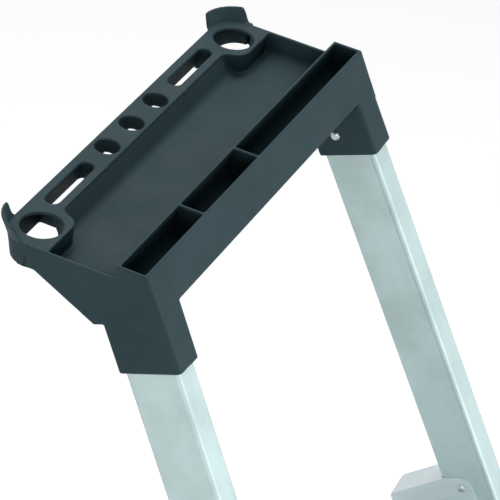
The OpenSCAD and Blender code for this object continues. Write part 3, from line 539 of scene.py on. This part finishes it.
@dataclass
class SoftMoulding:
    """A moulding rebuilt from its CAD node with softened lips and fillets.

    Attributes:
        node: The CAD node it stands for.
        name: Name of the new piece.
        body: The body it rides on.
        cell: Size of the rebuilt mesh's cells in metres.
        passes: Smoothing passes.
        keep: Share of the faces kept where the surface is flat.
    """

    node: str
    name: str
    body: Body
    cell: float = 0.0008
    passes: int = 4
    keep: float = 0.35

    def build(self, material: bpy.types.Material, slot: Slot,
              reshape: Callable[[Vector], Vector] | None = None) -> bpy.types.Object:
        """Builds the softened piece and puts it in the node's place.

        Args:
            material: Its finish.
            slot: Its material slot in the record. Not used.
            reshape: Moves each point of the softened surface, where the moulding needs it.

        Returns:
            The new piece.
        """
        mesh = frame["nodes"][self.node].data.copy()
        weld = bmesh.new()
        weld.from_mesh(mesh)
        bmesh.ops.remove_doubles(weld, verts=weld.verts, dist=1e-6)
        weld.to_mesh(mesh)
        weld.free()
        rough = bpy.data.objects.new(self.name + "_rough", mesh)
        bpy.context.scene.collection.objects.link(rough)
        cells = rough.modifiers.new("cells", "REMESH")
        cells.mode, cells.voxel_size, cells.adaptivity = "VOXEL", self.cell, 0.0
        soften = rough.modifiers.new("soften", "SMOOTH")
        soften.factor, soften.iterations = 0.5, self.passes
        thin = rough.modifiers.new("thin", "DECIMATE")
        thin.ratio = self.keep
        graph = bpy.context.evaluated_depsgraph_get()
        final = bpy.data.meshes.new_from_object(rough.evaluated_get(graph))
        bpy.data.objects.remove(rough)
        final.materials.clear()
        final.materials.append(material)
        if reshape:
            for point in final.vertices:
                point.co = reshape(point.co)
        for face in final.polygons:
            face.use_smooth = True
        piece = bpy.data.objects.new(self.name, final)
        bpy.context.scene.collection.objects.link(piece)
        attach(piece, self.body.value)
        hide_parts(self.node)
        LOG.info("%s: %d faces stand for %s", self.name, len(final.polygons), self.node)
        return piece


@dataclass
class FrontSection:
    """Stiles, treads, brackets and their fittings.

    Attributes:
        lean: Lean of the stiles in degrees.
        splay: Sideways spread in degrees.
    """

    lean: float = 27.0
    splay: float = 2.86

    def dress(self, wardrobe: Wardrobe) -> None:
        """Gives the section's CAD nodes their finishes."""
        for side in Side:
            word = side.name.lower()
            along = lean_direction(self.lean, self.splay, side)
            wardrobe.dress_metal([f"{word}_front_stile"], SATIN, f"{word}_stile_aluminium", along)
            wardrobe.dress_metal([f"{word}_hinge_bracket"], BRIGHT, f"{word}_bracket_aluminium", along)
        wardrobe.dress_metal(["lower_tread", "middle_tread", "upper_tread"], SATIN, "tread_aluminium", ACROSS)
        wardrobe.dress_metal(["tread_cleats", "platform_pivot_plates"], BRIGHT, "fitting_aluminium",
                             lean_direction(self.lean, 0.0, Side.RIGHT))
        wardrobe.dress_metal(["tread_rivets", "tray_rivets", "bracket_rivets", "rear_pivot_pins", "platform_pivot_pins",
                              "platform_rivets", "rear_brace_rivets"], STEEL, "rivet_steel_finish", ACROSS)
        wardrobe.dress_plastic(["left_front_foot", "right_front_foot", "platform_spacers"], Slot.BLACK)
        LOG.info("front section dressed")


def smooth_step(low: float, high: float, value: float) -> float:
    """Rises smoothly from 0 at low to 1 at high."""
    share = min(1.0, max(0.0, (value - low) / (high - low)))
    return share * share * (3.0 - 2.0 * share)


@dataclass
class ToolTray:
    """The moulded tray with its sleeves.

    Attributes:
        rim: Height of the rim.
        corner: Outer radius of the rear corners.
        flare: Reach of the ears beyond the corners.
        drop: Depth of the skirt.
        taper: Inward taper of the rear skirt.
        wall: Wall of the moulding.
        ear_start: Angles over which an ear rises at its side end, in degrees.
        ear_end: Angles over which it falls at its rear end, in degrees.
    """

    rim: float = 1530 * MM
    corner: float = 29 * MM
    flare: float = 5.5 * MM
    drop: float = 21.6 * MM
    taper: float = 6.5 * MM
    wall: float = 2.8 * MM
    ear_start: tuple[float, float] = (2.0, 20.0)
    ear_end: tuple[float, float] = (86.0, 95.0)
    shell: SoftMoulding = field(default_factory=lambda: SoftMoulding("tool_tray", "moulded_tray", Body.FRONT))

    def build(self, wardrobe: Wardrobe) -> None:
        """Builds the softened moulding."""
        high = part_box("tool_tray")[1]
        self.centre = (high.x - self.corner - self.flare, high.y - self.corner - self.flare)
        self.shell.build(wardrobe.plastics[Slot.SLATE], Slot.SLATE, self.shape_corner)

    def shape_corner(self, point: Vector) -> Vector:
        """Runs the ears down at their ends and brings the rear corners smoothly into the side walls.

        Args:
            point: A point of the moulding.

        Returns:
            Where the point goes.
        """
        across, back, up = abs(point.x) - self.centre[0], point.y - self.centre[1], point.z - self.rim
        if across < -3 * MM or back < -3 * MM:
            return point
        radius, angle = math.hypot(across, back), math.degrees(math.atan2(back, across))
        if radius < self.corner / 2:
            return point
        new_radius, new_up = radius, up
        if up > 0.8 * MM and radius > self.corner - 4 * MM:
            share = smooth_step(*self.ear_start, angle) * (1.0 - smooth_step(*self.ear_end, angle))
            new_up = 0.8 * MM + (up - 0.8 * MM) * share
            seat = self.corner + 0.7 * MM
            new_radius = seat + (radius - seat) * share if radius > seat else radius
        elif up < 0.0:
            lean = self.taper * min(1.0, -up / self.drop)
            inner = self.corner - lean - self.wall
            push = lean * math.cos(math.radians(angle)) ** 2 * smooth_step(inner - 1.5 * MM, inner, radius)
            new_radius = min(radius + push, max(radius, self.corner))
        grow = new_radius / radius
        side = math.copysign(1.0, point.x)
        return Vector((side * (self.centre[0] + across * grow), self.centre[1] + back * grow, self.rim + new_up))


@dataclass
class Platform:
    """The standing platform with its rails, nosing and hooks."""

    def dress(self, wardrobe: Wardrobe) -> None:
        """Gives the platform's CAD nodes their finishes."""
        wardrobe.dress_metal(["platform_deck"], SATIN, "deck_aluminium", ACROSS)
        wardrobe.dress_metal(["left_platform_rail", "right_platform_rail"], BRIGHT, "rail_aluminium", Vector((0, 1, 0)))
        wardrobe.dress_plastic(["platform_nosing", "platform_hooks"], Slot.SLATE)
        wardrobe.dress_plastic(["platform_bushes"], Slot.BLACK)
        LOG.info("platform dressed")


@dataclass
class RearSection:
    """Rear legs, rest tube, braces and struts.

    Attributes:
        lean: Lean of the legs in degrees.
        splay: Sideways spread in degrees.
    """

    lean: float = 17.0
    splay: float = 2.86

    def dress(self, wardrobe: Wardrobe) -> None:
        """Gives the section's CAD nodes their finishes."""
        for side in Side:
            word = side.name.lower()
            along = lean_direction(-self.lean, self.splay, side)
            wardrobe.dress_metal([f"{word}_rear_leg"], SATIN, f"{word}_leg_aluminium", along)
        wardrobe.dress_metal(["platform_rest_tube", "upper_rear_brace", "lower_rear_brace"], SATIN, "brace_aluminium", ACROSS)
        wardrobe.dress_metal(["diagonal_struts"], SATIN, "strut_aluminium", lean_direction(-self.lean, 0.0, Side.RIGHT))
        wardrobe.dress_plastic(["rest_tube_sockets"], Slot.SLATE)
        wardrobe.dress_plastic(["rear_leg_caps", "strut_washers", "left_rear_foot", "right_rear_foot"], Slot.BLACK)
        wardrobe.dress_plastic(["rear_pivot_bushes"], Slot.NYLON)
        LOG.info("rear section dressed")


# ---------- studio ----------
@dataclass
class Lamp:
    """A square softbox.

    Attributes:
        name: Name of the lamp.
        place: Where it stands.
        aim: What it points at.
        size: Width in metres.
        power: Power in watts.
    """

    name: str
    place: Point
    aim: Point
    size: float
    power: float

    def build(self) -> None:
        """Puts the lamp in the scene."""
        data = bpy.data.lights.new(self.name, "AREA")
        data.shape, data.size, data.energy = "SQUARE", self.size, self.power
        lamp = bpy.data.objects.new(self.name, data)
        bpy.context.scene.collection.objects.link(lamp)
        lamp.location = self.place
        lamp.rotation_mode = "QUATERNION"
        lamp.rotation_quaternion = (Vector(self.aim) - Vector(self.place)).to_track_quat("-Z", "Y")


@dataclass
class Studio:
    """Camera, lamps, floor and world.

    Attributes:
        camera_place: Where the camera stands.
        camera_aim: What it looks at.
        camera_up: Direction that is up in the picture.
        lens: Lens in millimetres, on a sensor 36 mm wide.
        lamps: The softboxes.
        floor_half: Half width of the floor in metres.
        world_light: Strength of the surroundings' light on the ladder.
    """

    camera_place: Point = (-1.9566, -0.4681, 2.9243)
    camera_aim: Point = (0.1024, 0.3276, 1.3694)
    camera_up: Point = (0.4802, 0.3387, 0.8092)
    lens: float = 213.86
    lamps: tuple[Lamp, ...] = (
        Lamp("top_softbox", (1.3, 0.9, 4.4), (0.0, 0.3, 1.3), 1.5, 60.0),
        Lamp("front_softbox", (0.9, -3.4, 1.3), (0.0, 0.1, 1.2), 2.2, 62.0),
        Lamp("side_softbox", (-3.4, -0.4, 1.9), (0.0, 0.2, 1.0), 2.2, 37.0),
    )
    floor_half: float = 9.0
    world_light: float = 0.34

    def build(self) -> None:
        """Builds the whole studio."""
        self._camera()
        for lamp in self.lamps:
            lamp.build()
        self._floor()
        self._world()
        settings = bpy.context.scene.view_settings
        settings.view_transform = "Standard"
        LOG.info("studio built")

    def _camera(self) -> None:
        """Stands the camera at the viewing angle."""
        data = bpy.data.cameras.new("view_camera")
        data.sensor_width, data.lens = 36.0, self.lens
        data.clip_start, data.clip_end = 0.05, 60.0
        camera = bpy.data.objects.new("view_camera", data)
        bpy.context.scene.collection.objects.link(camera)
        back = (Vector(self.camera_place) - Vector(self.camera_aim)).normalized()
        right = Vector(self.camera_up).cross(back).normalized()
        up = back.cross(right)
        turn = Matrix((right, up, back)).transposed()
        camera.matrix_world = Matrix.Translation(self.camera_place) @ turn.to_4x4()
        bpy.context.scene.camera = camera

    def _floor(self) -> None:
        """Lays the pale floor, which shows white and keeps the ladder's shadow."""
        mesh = bpy.data.meshes.new("studio_floor")
        sheet = bmesh.new()
        half = self.floor_half
        corners = [sheet.verts.new((x, y, 0.0)) for x, y in ((-half, -half), (half, -half), (half, half), (-half, half))]
        sheet.faces.new(corners)
        sheet.to_mesh(mesh)
        sheet.free()
        floor = bpy.data.objects.new("studio_floor", mesh)
        bpy.context.scene.collection.objects.link(floor)
        floor.location.z = -0.0005
        material, graph, shader = new_material("studio_floor_paint")
        shader.inputs["Base Color"].default_value = (0.86, 0.86, 0.86, 1.0)
        shader.inputs["Roughness"].default_value = 0.9
        shader.inputs["Specular IOR Level"].default_value = 0.0
        shader.inputs["Emission Color"].default_value = (1.0, 1.0, 1.0, 1.0)
        path = graph.add("LightPath").outputs
        seen = graph.math("MAXIMUM", path["Is Camera Ray"], path["Is Glossy Ray"])
        seen = graph.math("MAXIMUM", seen, path["Is Transmission Ray"])
        graph.tree.links.new(graph.math("MULTIPLY", seen, 0.45), shader.inputs["Emission Strength"])
        mesh.materials.append(material)

    def _world(self) -> None:
        """Sets a plain white surrounding."""
        world = bpy.data.worlds.new("studio_air")
        world.use_nodes = True
        world.node_tree.nodes.clear()
        graph = Graph(world.node_tree)
        path = graph.add("LightPath").outputs
        seen = graph.math("MAXIMUM", path["Is Camera Ray"], path["Is Glossy Ray"])
        seen = graph.math("MAXIMUM", seen, path["Is Transmission Ray"])
        light = graph.add("Background", {0: (1.0, 1.0, 1.0, 1.0), 1: self.world_light})
        shown = graph.add("Background", {0: (1.0, 1.0, 1.0, 1.0), 1: 1.0})
        both = graph.add("MixShader", {0: seen, 1: light.outputs[0], 2: shown.outputs[0]})
        graph.add("OutputWorld", {0: both.outputs[0]})
        bpy.context.scene.world = world


def main() -> None:
    """Builds and dresses the ladder, then the studio."""
    logging.basicConfig(level=logging.INFO, format="%(name)s: %(message)s")
    Studio().build()
    wardrobe = Wardrobe()
    FrontSection().dress(wardrobe)
    ToolTray().build(wardrobe)
    Platform().dress(wardrobe)
    RearSection().dress(wardrobe)


if __name__ == "__main__":
    main()
